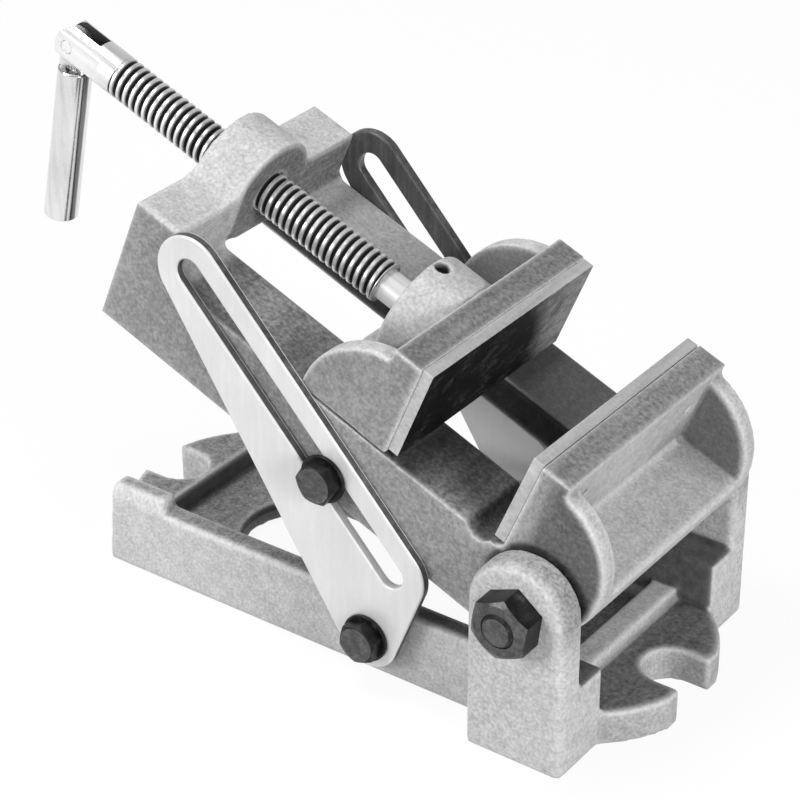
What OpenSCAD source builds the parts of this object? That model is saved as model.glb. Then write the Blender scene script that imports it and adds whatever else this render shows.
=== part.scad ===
// Angle drill press vise: a screw vise on a slotted base, steadied by two slotted links.
// The base stands on the table with the tilt axis straight above the origin, along Y.
// The vise is drawn flat about its tilt axis and is then turned up to its tilt angle.
// X points to the pivot end, Z points up and all lengths are millimetres.

/* [Tilt] */
// Angle of the vise above its flat position
tilt_angle = 22.6; // [5:0.1:60]
// Largest angle that the slotted links allow
full_tilt = 90; // [60:1:90]
// Height of the tilt axis above the table
pivot_h = 58.8; // [56:0.1:70]
// Diameter of the tilt bolt
pivot_d = 12.7; // [10:0.1:16]
// Width across flats of the tilt nut and of the bolt head
pivot_af = 20.5; // [18:0.5:26]
// Thickness of the tilt nut and of the bolt head
pivot_nut_t = 10; // [8:0.5:14]
// Turn of the hexagon of the tilt nut
nut_turn = 22; // [0:1:60]

/* [Base casting] */
// Distance from the tilt axis to the rear end of the base
base_rear = 192; // [180:1:220]
// Width over the ears
base_w = 124; // [116:0.5:136]
// Step of each side rail inside the side of the vise
rail_step = 3; // [1:0.5:6]
// Thickness of the side rails
base_wall_t = 9; // [6:0.5:12]
// Height of the side rails
base_wall_h = 29; // [24:0.5:31]
// Slope of the rear ends of the rails
rear_draft = 3; // [0:0.5:5]
// Thickness of the floor
base_floor_t = 8; // [5:0.5:12]
// Width of the long core hole in the floor, also the diameter of its round ends
core_hole_d = 54; // [30:1:60]
// Distance from the tilt axis back to the rear round end of the core hole
core_hole_x = 132; // [115:1:140]
// Distance from the tilt axis back to the front round end of the core hole
core_hole_front = 48; // [44:1:80]
// Length of the rest pads on the rails
pad_l = 27; // [15:1:40]
// Bevel on the outer edge of the rest pads
pad_bevel = 2.5; // [1:0.5:4]
// Thickness of the rear cross wall
rear_wall_t = 11; // [8:0.5:16]
// Thickness of the front cross wall
front_wall_t = 10; // [6:0.5:14]
// Distance from the tilt axis forward to the face of the front cross wall
front_wall_front = 6; // [2:0.5:10]
// Height of the front cross wall
front_wall_h = 18.5; // [15:0.5:24]
// Height of the rear bolt-down lug and its cross wall
rear_lug_h = 17; // [13:0.5:22]
// Reach of the rear lug past the rails
rear_lug_reach = 13.5; // [10:0.5:20]
// Radius of the rear lug in plan
rear_lug_r = 46; // [40:1:60]
// Height of the front bolt-down lug
front_lug_h = 13.5; // [10:0.5:18]
// Reach of the front lug from the tilt axis
front_lug_reach = 37.5; // [32:0.5:44]
// Radius of the front lug in plan
front_lug_r = 48; // [42:1:60]
// Width of the open bolt slots
slot_w = 20; // [12:0.5:24]
// Depth of the rear bolt slot from the tip of its lug
rear_slot_depth = 21; // [14:0.5:26]
// Depth of the front bolt slot from the tip of its lug
front_slot_depth = 22.5; // [14:0.5:26]
// Half length of the ears, also the radius of their tops
ear_r = 19.5; // [16:0.5:21]
// Round on the outer rim of the ears
ear_round = 3; // [1:0.5:4]
// Gap between the turning vise and the blocks inside the ears
ear_foot_gap = 2; // [1:0.5:6]
// Width of the space between the blocks
throat_w = 72.8; // [60:0.2:76]

/* [Vise casting] */
// Width over the rails and over both jaws
jaw_w = 100; // [98:0.5:110]
// Distance from the tilt axis to the rear face of the vise
body_rear = 190; // [184:1:215]
// Height of the rail tops above the tilt axis
rail_top = 8.6; // [6:0.1:11]
// Depth of the vise below its rail tops
body_depth = 33; // [30:0.5:34]
// Thickness of the rails under their running faces
flange_t = 14; // [10:0.5:16]
// Thickness of the outer walls
skirt_t = 11; // [8:0.5:13]
// Width of the gap between the rails
gap_w = 36.6; // [32:0.2:42]
// Length of the rear bridge
bridge_t = 19.5; // [14:0.5:22]
// Height of the rear bridge above the rail tops
bridge_rise = 20.3; // [14:0.5:24]
// Fillet between the bridge and the rails
bridge_fillet = 3.5; // [1:0.5:4]
// Radius of the screw boss on the bridge
boss_r = 20.5; // [18:0.5:24]
// Fillet between the screw boss and the top of the bridge
boss_fillet = 8; // [3:0.5:10]
// Distance from the tilt axis forward to the front of the nose
nose_front = 20; // [18:0.5:22]
// Height of the nose deck above the rail tops
deck_rise = 8; // [4:0.5:10]
// Distance from the tilt axis back to the start of the solid nose
nose_back = 36; // [34:0.5:38]
// Depth of the relief groove at the foot of the fixed jaw
groove_depth = 3; // [1.5:0.5:4]
// Radius of the relief groove
groove_r = 5; // [4.5:0.5:6]

/* [Jaws] */
// Height of the jaws above the rail tops
jaw_h = 40; // [36:0.5:48]
// Thickness of each jaw behind its plate
jaw_block_t = 11.7; // [9:0.1:15]
// Distance from the tilt axis back to the fixed grip face
jaw_face = 22.8; // [20:0.2:24]
// Opening between the grip faces
jaw_opening = 42.4; // [20:0.1:48]
// Thickness of the jaw plates
plate_t = 4.4; // [3.5:0.1:6]
// Distance of the plates from the ends of the jaws
plate_inset = 1.2; // [0.5:0.1:3]
// Height of the plates' lower edge above the rail tops
plate_foot = 2; // [1:0.5:4]
// Distance of the plate screws from the middle of the jaw
plate_screw_y = 33; // [26:0.5:38]
// Height of the plate screws above the rail tops
plate_screw_h = 27; // [20:0.5:30]
// Diameter of the plate screws
plate_screw_d = 3.5; // [3:0.5:6]
// Thickness of the gussets on both jaws
gusset_t = 8; // [6:0.5:10]
// Radius of the gussets on the fixed jaw
front_gusset_r = 30.5; // [29:0.5:31]
// Radius of the gussets on the movable jaw
rear_gusset_r = 32.5; // [30:0.5:35]
// Length of the movable jaw's feet behind its back
foot_l = 26.7; // [24:0.1:30]
// Thickness of the sole between the feet
sole_t = 6; // [4:0.5:9]
// Radius of the boss on the movable jaw
jaw_boss_r = 22; // [19:0.5:23]
// Length of the boss on the movable jaw
jaw_boss_l = 20.2; // [18:0.2:22]
// Edge round of the boss on the movable jaw
jaw_boss_round = 2; // [1:0.5:4]
// Thickness of the keeper plate
keeper_t = 7.7; // [5:0.1:9]
// Length of the keeper plate
keeper_l = 18; // [14:0.5:22]
// Diameter of the keeper screws
keeper_screw_d = 6; // [4:0.5:8]
// Distance of the keeper screws from the middle
keeper_screw_y = 10; // [8:0.5:12]

/* [Screw and handle] */
// Outside diameter of the screw thread
screw_d = 15.9; // [13:0.1:18]
// Height of the screw axis above the rail tops
screw_h = 16.5; // [14:0.5:19]
// Diameter of the plain neck at the jaw end
neck_d = 12; // [9:0.5:12.5]
// Length of the plain neck outside the jaw boss
neck_l = 13.3; // [8:0.1:18]
// Depth of the neck in the jaw boss
neck_in = 16.5; // [13:0.5:18]
// Length of the threaded part
thread_l = 127.2; // [120:0.2:160]
// Length of the clevis end
clevis_l = 27.5; // [25:0.5:36]
// Width across the flats of the clevis
clevis_w = 13.4; // [12:0.1:15]
// Width of the clevis slot
clevis_slot_w = 6; // [4.5:0.1:7]
// Distance of the handle pin from the tip of the clevis
pin_in = 5.5; // [5:0.1:7]
// Diameter of the handle pin
pin_d = 5; // [4:0.1:6]
// Diameter of the handle
handle_d = 13; // [10:0.5:13.5]
// Length of the handle from its pin
handle_l = 75; // [60:0.5:82]
// Angle of the handle from the screw axis
handle_angle = 101; // [90:0.5:105]
// Diameter of the retaining screw in the jaw boss
retainer_d = 5.5; // [4:0.5:6]
// Distance of the retaining screw from the face of the jaw boss
retainer_in = 4; // [3.5:0.1:6]

/* [Links] */
// Distance from the tilt axis back to the link pivots
link_back = 65.8; // [62:0.1:72]
// Height of the link pivots above the table
link_h = 19.6; // [17:0.1:21]
// Distance along the vise from the tilt axis back to the slot bolts
bolt_back = 84.2; // [80:0.1:92]
// Depth of the slot bolts below the tilt axis
bolt_drop = 13.7; // [10:0.1:14]
// Thickness of the links
link_t = 4; // [3:0.1:5]
// Half width of the links beside their slots
link_half = 14; // [12:0.1:15]
// Radius of the links round their pivots
link_eye_r = 12.3; // [10:0.1:14]
// Distance of the slots' middle lines from the link pivots
slot_off = 27.4; // [22:0.1:28]
// Spare length of the slots past the bolt of the flat vise
slot_spare_flat = 0.5; // [0:0.5:4]
// Spare length of the slots past the bolt of the upright vise
slot_spare_up = 7; // [2:0.5:10]
// Diameter of the link bolts
bolt_d = 9.5; // [8:0.5:11]
// Width of the link slots beyond the bolts
slot_play = 1.2; // [0.4:0.1:2]
// Width across flats of the link bolt heads
bolt_af = 14; // [13:0.5:18]
// Height of the link bolt heads
bolt_head_t = 5; // [4:0.1:8]
// Diameter of the washers
washer_d = 18; // [16.5:0.5:22]
// Thickness of the washers
washer_t = 1.4; // [1:0.1:3]
// Radius of the cast bosses behind the links
link_boss_r = 11; // [9:0.5:13]
// Turn of the hexagon of the link bolts
bolt_turn = 20; // [0:1:60]

/* [Clearances] */
// Gap beside the vise at the ears and links
side_play = 0.3; // [0.2:0.05:0.6]
// Gap between sliding flat faces
slide_play = 0.15; // [0.05:0.05:0.3]
// Radial gap of turning fits
turn_play = 0.06; // [0.02:0.01:0.1]
// Gap between the flat vise and the rest pads
rest_play = 0.3; // [0.1:0.1:1]

/* [Hidden] */
$fn = 96;
half_w = jaw_w / 2;
body_low = rail_top - body_depth;
under = rail_top - flange_t;
jaw_top = rail_top + jaw_h;
screw_z = rail_top + screw_h;
deck_top = rail_top + deck_rise;
bridge_front = -body_rear + bridge_t;
bridge_top = rail_top + bridge_rise;
pad_top = pivot_h + body_low - rest_play;
rail_out = half_w - rail_step;
rail_in = rail_out - base_wall_t;
nose_mid = rail_top + 5.4;
nose_low = nose_mid - front_gusset_r;
ear_in = half_w + side_play;
ear_out = base_w / 2;
ear_t = ear_out - ear_in;
front_wall_x = front_wall_front - front_wall_t;
rear_tip = base_rear + rear_lug_reach;

// Faces of the fixed jaw along the vise
fixed_back = -jaw_face + plate_t;
fixed_front = fixed_back + jaw_block_t;
plate_low = rail_top + plate_foot;
plate_half = half_w - plate_inset;
plate_screw_z = rail_top + plate_screw_h;

// Faces of the movable jaw along the vise
moving_face = -jaw_face - jaw_opening;
moving_back = moving_face - plate_t;
moving_rear = moving_back - jaw_block_t;
foot_rear = moving_rear - foot_l;
jaw_boss_face = moving_rear - jaw_boss_l;
sole_low = rail_top + slide_play;
tongue_low = under - slide_play;
keeper_low = tongue_low - keeper_t;
keeper_half = half_w - skirt_t - 1;
keeper_x = foot_rear + keeper_l / 2;

// Stations along the screw
retainer_x = jaw_boss_face + retainer_in;
retainer_low = screw_z + neck_d / 4 + 0.8;
neck_tip = jaw_boss_face + neck_in;
thread_front = jaw_boss_face - neck_l;
thread_rear = thread_front - thread_l;
clevis_tip = thread_rear - clevis_l;
pin_x = clevis_tip + pin_in;
clevis_round = screw_d / 2 + 0.3;
tang_r = screw_d / 2 - 2.4;
tang_t = clevis_slot_w - 0.4;
handle_from = screw_d / 2 + 2.9;

// The links turn on the base and their slots follow the bolts of the turning vise.
link_pivot = [-link_back, link_h];
link_in = half_w + side_play;
slot_bolt_end = half_w + side_play / 2;
link_out = link_in + link_t;
washer_in = link_out + slide_play;
head_in = washer_in + washer_t;
slot_wide = bolt_d + slot_play;
edge_inset = 0.04;

// Place of the slot bolt seen from the side, with the vise turned up by angle t
function bolt_at(t) = [
  -bolt_back * cos(t) - bolt_drop * sin(t),
  pivot_h + bolt_back * sin(t) - bolt_drop * cos(t)
];
// Distance of the slot bolt along the slot
function slot_pos(t) = sqrt(max(0, pow(norm(bolt_at(t) - link_pivot), 2) - slot_off * slot_off));
// Turn of the links from level
function link_turn(t) = let (v = bolt_at(t) - link_pivot)
  atan2(v[1], -v[0]) - asin(min(1, slot_off / norm(v)));
slot_near = slot_pos(0) - slot_spare_flat;
slot_far = slot_pos(full_tilt) + slot_spare_up;
slot_bolt = bolt_at(tilt_angle);

// Plain box between two corners
module box(x0, x1, y0, y1, z0, z1) {
  translate([x0, y0, z0]) cube([x1 - x0, y1 - y0, z1 - z0]);
}

// Round bar along X
module x_bar(d, x0, x1, y, z) {
  translate([x0, y, z]) rotate([0, 90, 0]) cylinder(d = d, h = x1 - x0);
}

// Round bar along Y
module y_bar(d, y0, y1, x, z) {
  translate([x, y0, z]) rotate([-90, 0, 0]) cylinder(d = d, h = y1 - y0);
}

// Side-view outline drawn in X and Z, as thick as y0 to y1
module side_view(y0, y1) {
  translate([0, y1, 0]) rotate([90, 0, 0]) linear_extrude(height = y1 - y0) children();
}

// End-view outline drawn in Y and Z, as long as x0 to x1
module end_view(x0, x1) {
  translate([x0, 0, 0]) rotate([90, 0, 90]) linear_extrude(height = x1 - x0) children();
}

// The same piece on the near and on the far side
module both_sides() {
  children();
  mirror([0, 1, 0]) children();
}

// Turns what is drawn flat about the tilt axis up to the tilt angle
module in_vise() {
  translate([0, 0, pivot_h]) rotate([0, tilt_angle, 0]) children();
}

// Half of an ear seen in plan, with its outer corner rounded
module ear_half() {
  square([ear_r - ear_round, ear_t]);
  square([ear_r, ear_t - ear_round]);
  translate([ear_r - ear_round, ear_t - ear_round]) circle(r = ear_round);
}

module ear() {
  translate([0, ear_in, 0]) linear_extrude(height = pivot_h) {
    ear_half();
    mirror([1, 0]) ear_half();
  }
  translate([0, ear_in, pivot_h]) rotate([-90, 0, 0]) rotate_extrude() ear_half();
}

// One side rail with its rest pad, its rear end sloped
module base_rail() {
  difference() {
    union() {
      box(-base_rear, 0, rail_in, rail_out, 0, base_wall_h);
      end_view(-base_rear, -base_rear + pad_l) polygon([
        [rail_in, base_wall_h - 1],
        [rail_out, base_wall_h - 1],
        [rail_out, base_wall_h],
        [rail_out - pad_bevel, pad_top],
        [rail_in, pad_top]
      ]);
    }
    side_view(rail_in - 1, rail_out + 1) polygon([
      [-base_rear - 1, -1],
      [-base_rear, 0],
      [-base_rear + rear_draft, pad_top],
      [-base_rear + rear_draft, pad_top + 1],
      [-base_rear - 1, pad_top + 1]
    ]);
  }
}

// Open bolt slot in plan, its round end at x and its mouth away from the tilt axis
module bolt_slot(x, way, depth) {
  translate([x, 0, -1]) cylinder(d = slot_w, h = rear_lug_h + front_lug_h);
  translate([x + way * depth, 0, (rear_lug_h + front_lug_h) / 2 - 1])
    cube([2 * depth, slot_w, rear_lug_h + front_lug_h], center = true);
}

// Long hole with round ends through the floor
module core_hole() {
  for (x = [-core_hole_x, -core_hole_front])
    translate([x, 0, -1]) cylinder(d = core_hole_d, h = base_floor_t + 2);
  box(-core_hole_x, -core_hole_front, -core_hole_d / 2, core_hole_d / 2, -1, base_floor_t + 1);
}

module base_casting() {
  color("Silver") difference() {
    union() {
      both_sides() {
        base_rail();
        ear();
        box(-ear_r, ear_r, throat_w / 2, ear_in + 1, 0, pad_top - ear_foot_gap);
        y_bar(2 * link_boss_r, rail_out - 1, half_w, -link_back, link_h);
      }
      difference() {
        box(-base_rear + 1, front_wall_x + 1, -rail_in - 1, rail_in + 1, 0, base_floor_t);
        core_hole();
      }
      box(-base_rear, -base_rear + rear_wall_t, -rail_in - 1, rail_in + 1, 0, rear_lug_h);
      box(front_wall_x, front_wall_x + front_wall_t, -rail_in - 1, rail_in + 1, 0, front_wall_h);
      linear_extrude(height = rear_lug_h) intersection() {
        translate([-rear_tip + rear_lug_r, 0]) circle(r = rear_lug_r);
        translate([-rear_tip - 1, -rear_lug_r]) square([rear_lug_reach + 4, 2 * rear_lug_r]);
      }
      linear_extrude(height = front_lug_h) intersection() {
        translate([front_lug_reach - front_lug_r, 0]) circle(r = front_lug_r);
        translate([front_wall_x + 1, -throat_w / 2 - 1])
          square([front_lug_reach, throat_w + 2]);
      }
      box(front_wall_x + 1, ear_r - ear_round, -throat_w / 2 - 1, throat_w / 2 + 1, 0, front_lug_h);
    }
    y_bar(pivot_d + 2 * turn_play, -ear_out - 1, ear_out + 1, 0, pivot_h);
    both_sides() y_bar(bolt_d + 2 * turn_play, rail_in - 2, link_in + 1, -link_back, link_h);
    bolt_slot(front_lug_reach - front_slot_depth + slot_w / 2, 1, front_slot_depth);
    bolt_slot(-rear_tip + rear_slot_depth - slot_w / 2, -1, rear_slot_depth);
  }
}

module pivot_bolt() {
  color("DimGray") {
    y_bar(pivot_d, -ear_out - pivot_nut_t - 1, ear_out + 1, 0, pivot_h);
    translate([0, ear_out, pivot_h]) rotate([-90, 0, 0])
      cylinder(d = pivot_af / cos(30), h = pivot_nut_t, $fn = 6);
  }
}

module pivot_nut() {
  color("DimGray") difference() {
    translate([0, -ear_out, pivot_h]) rotate([90, 0, 0]) rotate([0, 0, nut_turn])
      cylinder(d = pivot_af / cos(30), h = pivot_nut_t, $fn = 6);
    y_bar(pivot_d + 2 * turn_play, -ear_out - pivot_nut_t - 1, -ear_out + 1, 0, pivot_h);
  }
}

// Hex bolt on the near side, its shank pointing inward
module hex_bolt(at, y_end, turn) {
  translate([at[0], -head_in, at[1]]) rotate([90, 0, 0]) rotate([0, 0, turn])
    cylinder(d = bolt_af / cos(30), h = bolt_head_t, $fn = 6);
  y_bar(bolt_d, -head_in - 1, -y_end, at[0], at[1]);
}

module flat_washer(at) {
  difference() {
    y_bar(washer_d, -head_in, -washer_in, at[0], at[1]);
    y_bar(bolt_d + 2 * turn_play, -head_in - 1, -washer_in + 1, at[0], at[1]);
  }
}

module link_pivot_bolts() {
  color("DimGray") both_sides() hex_bolt(link_pivot, rail_in - 1, bolt_turn);
}

module link_pivot_washers() {
  color("Gray") both_sides() flat_washer(link_pivot);
}

// Points where a straight edge leaves one circle and meets the next, on its left.
// The edge runs a hair inside the two circles, so that the solids cut each other cleanly.
function edge_points(c1, r1, c2, r2) = let (
  v = c2 - c1,
  a = atan2(v[1], v[0]) + acos((r1 - r2) / norm(v)),
  way = [cos(a), sin(a)]
) [c1 + (r1 - edge_inset) * way, c2 + (r2 - edge_inset) * way];

// Link drawn lying level about its pivot: an eye and two slot ends joined by straight edges
module level_link() {
  eye = [0, 0];
  front = [-slot_near, slot_off];
  back = [-slot_far, slot_off];
  difference() {
    union() {
      y_bar(2 * link_eye_r, -link_out, -link_in, eye[0], eye[1]);
      y_bar(2 * link_half, -link_out, -link_in, front[0], front[1]);
      y_bar(2 * link_half, -link_out, -link_in, back[0], back[1]);
      side_view(-link_out, -link_in) polygon(concat(
        edge_points(eye, link_eye_r, back, link_half),
        edge_points(back, link_half, front, link_half),
        edge_points(front, link_half, eye, link_eye_r)
      ));
    }
    y_bar(bolt_d + 2 * turn_play, -link_out - 1, -link_in + 1, eye[0], eye[1]);
    y_bar(slot_wide, -link_out - 1, -link_in + 1, front[0], front[1]);
    y_bar(slot_wide, -link_out - 1, -link_in + 1, back[0], back[1]);
    box(back[0], front[0], -link_out - 1, -link_in + 1,
      slot_off - slot_wide / 2, slot_off + slot_wide / 2);
  }
}

module slotted_link() {
  translate([-link_back, 0, link_h]) rotate([0, link_turn(tilt_angle), 0]) level_link();
}

module near_link() {
  color("WhiteSmoke") slotted_link();
}

module far_link() {
  color("WhiteSmoke") mirror([0, 1, 0]) slotted_link();
}

module near_slot_bolt() {
  color("DimGray") hex_bolt(slot_bolt, slot_bolt_end, bolt_turn - tilt_angle);
}

module far_slot_bolt() {
  color("DimGray") mirror([0, 1, 0]) hex_bolt(slot_bolt, slot_bolt_end, bolt_turn - tilt_angle);
}

module near_slot_washer() {
  color("Gray") flat_washer(slot_bolt);
}

module far_slot_washer() {
  color("Gray") mirror([0, 1, 0]) flat_washer(slot_bolt);
}

// Round front of the nose and of its gussets, seen from the side
module nose_disc() {
  translate([nose_front - front_gusset_r, nose_mid]) circle(r = front_gusset_r);
}

// Gusset of the fixed jaw, seen from the side
module front_gusset() {
  intersection() {
    nose_disc();
    translate([fixed_front - 1, rail_top - 1]) square([front_gusset_r * 2, jaw_h]);
  }
}

// Nose of the vise, seen from the side: solid round the tilt bolt, its front rolled under
module nose_outline() {
  intersection() {
    nose_disc();
    translate([-1, body_low]) square([front_gusset_r * 2, deck_top - body_low]);
  }
  translate([-nose_back, body_low]) square([nose_back - 10, -body_low + rail_top]);
  polygon([
    [-10.5, body_low],
    [-8, body_low],
    [1, nose_low + 2],
    [1, rail_top],
    [-10.5, rail_top]
  ]);
  translate([fixed_back, 0]) square([fixed_front - fixed_back, jaw_top]);
  translate([fixed_front - 1, 0]) square([1 - fixed_front, deck_top]);
}

// Round screw boss on the bridge, with a fillet on each side of it
module bridge_boss() {
  fillet_z = bridge_top + boss_fillet;
  fillet_y = sqrt(pow(boss_r + boss_fillet, 2) - pow(fillet_z - screw_z, 2));
  join_z = screw_z + (fillet_z - screw_z) * boss_r / (boss_r + boss_fillet);
  intersection() {
    x_bar(2 * boss_r, -body_rear, bridge_front + 1, 0, screw_z);
    box(-body_rear, bridge_front + 1, -half_w, half_w, rail_top - 0.6, screw_z + 2 * boss_r);
  }
  both_sides() difference() {
    box(-body_rear, bridge_front, fillet_y / 2, fillet_y, bridge_top - 1, join_z);
    x_bar(2 * boss_fillet, -body_rear - 1, bridge_front + 1, fillet_y, fillet_z);
  }
}

module vise_casting() {
  color("DarkGray") in_vise() difference() {
    union() {
      both_sides() {
        box(-body_rear, -nose_back + 1, gap_w / 2, half_w, under, rail_top);
        box(-body_rear, -nose_back + 1, half_w - skirt_t, half_w, body_low, rail_top);
        side_view(half_w - gusset_t, half_w) front_gusset();
        difference() {
          box(bridge_front - 1, bridge_front + bridge_fillet, gap_w / 2, half_w,
            rail_top - 1, rail_top + bridge_fillet);
          y_bar(2 * bridge_fillet, 0, half_w + 1, bridge_front + bridge_fillet,
            rail_top + bridge_fillet);
        }
      }
      side_view(-half_w, half_w) nose_outline();
      box(-body_rear, bridge_front, -half_w, half_w, rail_top - 0.6, bridge_top);
      bridge_boss();
    }
    // The gap runs on over the solid nose to the relief groove.
    box(-nose_back - 1, -jaw_face - 2.2, -gap_w / 2, gap_w / 2, under, rail_top + 1);
    y_bar(2 * groove_r, -half_w - 1, half_w + 1, -jaw_face - groove_r,
      rail_top + groove_r - groove_depth);
    y_bar(pivot_d + 2 * turn_play, -half_w - 1, half_w + 1, 0, 0);
    x_bar(screw_d + 2 * turn_play, -body_rear - 1, bridge_front + 2, 0, screw_z);
    for (s = [-1, 1])
      x_bar(plate_screw_d + 2 * turn_play, fixed_back - 1, fixed_front + 1,
        s * plate_screw_y, plate_screw_z);
    both_sides() y_bar(bolt_d - 1.5, half_w - skirt_t - 1, half_w + 1, -bolt_back, -bolt_drop);
  }
}

// Jaw plate with two countersunk holes, its grip face at x and looking along way
module jaw_plate(x, way) {
  translate([x, 0, 0]) mirror([way < 0 ? 1 : 0, 0, 0]) difference() {
    box(-plate_t, 0, -plate_half, plate_half, plate_low, jaw_top);
    for (s = [-1, 1]) translate([0, s * plate_screw_y, plate_screw_z]) rotate([0, -90, 0]) {
      translate([0, 0, -1]) cylinder(d = plate_screw_d + 2 * turn_play, h = plate_t + 2);
      translate([0, 0, -0.5]) cylinder(d1 = 2 * plate_screw_d + 1.2, d2 = plate_screw_d,
        h = plate_screw_d / 2 + 0.5);
    }
  }
}

// Two countersunk screws for a jaw plate, reaching length l into the jaw
module plate_screws(x, way, l) {
  translate([x, 0, 0]) mirror([way < 0 ? 1 : 0, 0, 0])
    for (s = [-1, 1]) translate([-0.3, s * plate_screw_y, plate_screw_z]) rotate([0, -90, 0]) {
      cylinder(d1 = 2 * plate_screw_d - 0.4, d2 = plate_screw_d - 0.2, h = plate_screw_d / 2 - 0.3);
      cylinder(d = plate_screw_d - 0.2, h = l);
    }
}

module fixed_jaw_plate() {
  color("Gray") in_vise() jaw_plate(-jaw_face, -1);
}

module fixed_jaw_screws() {
  color("DimGray") in_vise() plate_screws(-jaw_face, -1, plate_t + jaw_block_t - 1.5);
}

// Gusset and foot of the movable jaw, seen from the side
module rear_gusset() {
  intersection() {
    translate([foot_rear + rear_gusset_r, sole_low + 3]) circle(r = rear_gusset_r);
    translate([foot_rear - 1, sole_low]) square([foot_l + 2, jaw_h]);
  }
}

// Boss on the movable jaw with a rounded rear rim, as a half section about the screw axis
module jaw_boss_section() {
  square([jaw_boss_r - jaw_boss_round, jaw_boss_l + 1]);
  square([jaw_boss_r, jaw_boss_l + 1 - jaw_boss_round]);
  translate([jaw_boss_r - jaw_boss_round, jaw_boss_l + 1 - jaw_boss_round])
    circle(r = jaw_boss_round);
}

module movable_jaw_casting() {
  color("DarkGray") in_vise() difference() {
    union() {
      box(moving_rear, moving_back, -half_w, half_w, sole_low, jaw_top);
      both_sides() side_view(half_w - gusset_t, half_w) rear_gusset();
      box(foot_rear + 6, moving_rear + 1, -half_w + 1, half_w - 1, sole_low, sole_low + sole_t);
      box(foot_rear + 1, moving_rear, -gap_w / 2 + slide_play, gap_w / 2 - slide_play,
        tongue_low, sole_low + sole_t);
      translate([moving_rear + 1, 0, screw_z]) rotate([0, -90, 0])
        rotate_extrude() jaw_boss_section();
    }
    x_bar(neck_d + 2 * turn_play, jaw_boss_face - 1, neck_tip + 0.3, 0, screw_z);
    translate([retainer_x, 0, screw_z])
      cylinder(d = retainer_d + 2 * turn_play, h = jaw_boss_r + 2);
    for (s = [-1, 1]) {
      x_bar(plate_screw_d + 2 * turn_play, moving_rear - 1, moving_back + 1,
        s * plate_screw_y, plate_screw_z);
      translate([keeper_x, s * keeper_screw_y, tongue_low - 1])
        cylinder(d = keeper_screw_d + 2 * turn_play, h = flange_t);
    }
  }
}

module movable_jaw_plate() {
  color("Gray") in_vise() jaw_plate(moving_face, 1);
}

module movable_jaw_screws() {
  color("DimGray") in_vise() plate_screws(moving_face, 1, plate_t + jaw_block_t - 1.5);
}

module keeper_plate() {
  color("Gray") in_vise() difference() {
    box(foot_rear, foot_rear + keeper_l, -keeper_half, keeper_half, keeper_low, tongue_low);
    for (s = [-1, 1]) translate([keeper_x, s * keeper_screw_y, keeper_low - 1])
      cylinder(d = keeper_screw_d + 2 * turn_play, h = keeper_t + 2);
  }
}

module keeper_screws() {
  color("DimGray") in_vise() for (s = [-1, 1]) translate([keeper_x, s * keeper_screw_y, 0]) {
    translate([0, 0, keeper_low - 1]) cylinder(d = keeper_screw_d, h = keeper_t + flange_t - 2);
    translate([0, 0, keeper_low - 4]) cylinder(d = 1.7 * keeper_screw_d, h = 4);
  }
}

module retaining_screw() {
  color("DimGray") in_vise() translate([retainer_x, 0, retainer_low])
    cylinder(d = retainer_d, h = screw_z + jaw_boss_r - 3 - retainer_low);
}

module lead_screw() {
  color("LightGray") in_vise() difference() {
    union() {
      x_bar(neck_d, thread_front - 1, neck_tip, 0, screw_z);
      x_bar(screw_d, thread_rear - 1, thread_front, 0, screw_z);
      intersection() {
        x_bar(screw_d, clevis_tip - 1, thread_rear, 0, screw_z);
        union() {
          box(clevis_tip + clevis_round, thread_rear + 1, -screw_d, screw_d, 0, 2 * screw_z);
          y_bar(2 * clevis_round, -screw_d, screw_d, clevis_tip + clevis_round, screw_z);
        }
      }
    }
    difference() {
      x_bar(screw_d + 1, retainer_x - retainer_d / 2 - 0.3, retainer_x + retainer_d / 2 + 0.3,
        0, screw_z);
      x_bar(neck_d / 2 + 1, retainer_x - retainer_d, retainer_x + retainer_d, 0, screw_z);
    }
    box(clevis_tip - 1, pin_x + tang_r + 6, -clevis_slot_w / 2, clevis_slot_w / 2, 0, 2 * screw_z);
    both_sides() box(clevis_tip - 1, pin_x + tang_r + 10, clevis_w / 2, screw_d, 0, 2 * screw_z);
    y_bar(pin_d + 2 * turn_play, -screw_d, screw_d, pin_x, screw_z);
  }
}

module handle_pin() {
  color("DimGray") in_vise() y_bar(pin_d, -clevis_w / 2, clevis_w / 2, pin_x, screw_z);
}

// The handle hangs from its pin: drawn along its own axis and turned to its angle
module handle() {
  color("LightGray") in_vise() translate([pin_x, 0, screw_z]) rotate([0, -90 - handle_angle, 0])
    difference() {
      union() {
        y_bar(2 * tang_r, -tang_t / 2, tang_t / 2, 0, 0);
        box(-tang_r, tang_r, -tang_t / 2, tang_t / 2, 0, handle_from + 1);
        translate([0, 0, handle_from]) cylinder(d = handle_d, h = handle_l - handle_from);
      }
      y_bar(pin_d + 2 * turn_play, -tang_t, tang_t, 0, 0);
    }
}

base_casting();
pivot_bolt();
pivot_nut();
link_pivot_bolts();
link_pivot_washers();
vise_casting();
fixed_jaw_plate();
fixed_jaw_screws();
movable_jaw_casting();
movable_jaw_plate();
movable_jaw_screws();
keeper_plate();
keeper_screws();
retaining_screw();
lead_screw();
handle_pin();
handle();
near_link();
far_link();
near_slot_bolt();
near_slot_washer();
far_slot_bolt();
far_slot_washer();
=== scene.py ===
import math

import bmesh
import bpy
import numpy as np
from mathutils import Matrix, Vector
from mathutils.bvhtree import BVHTree


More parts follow.
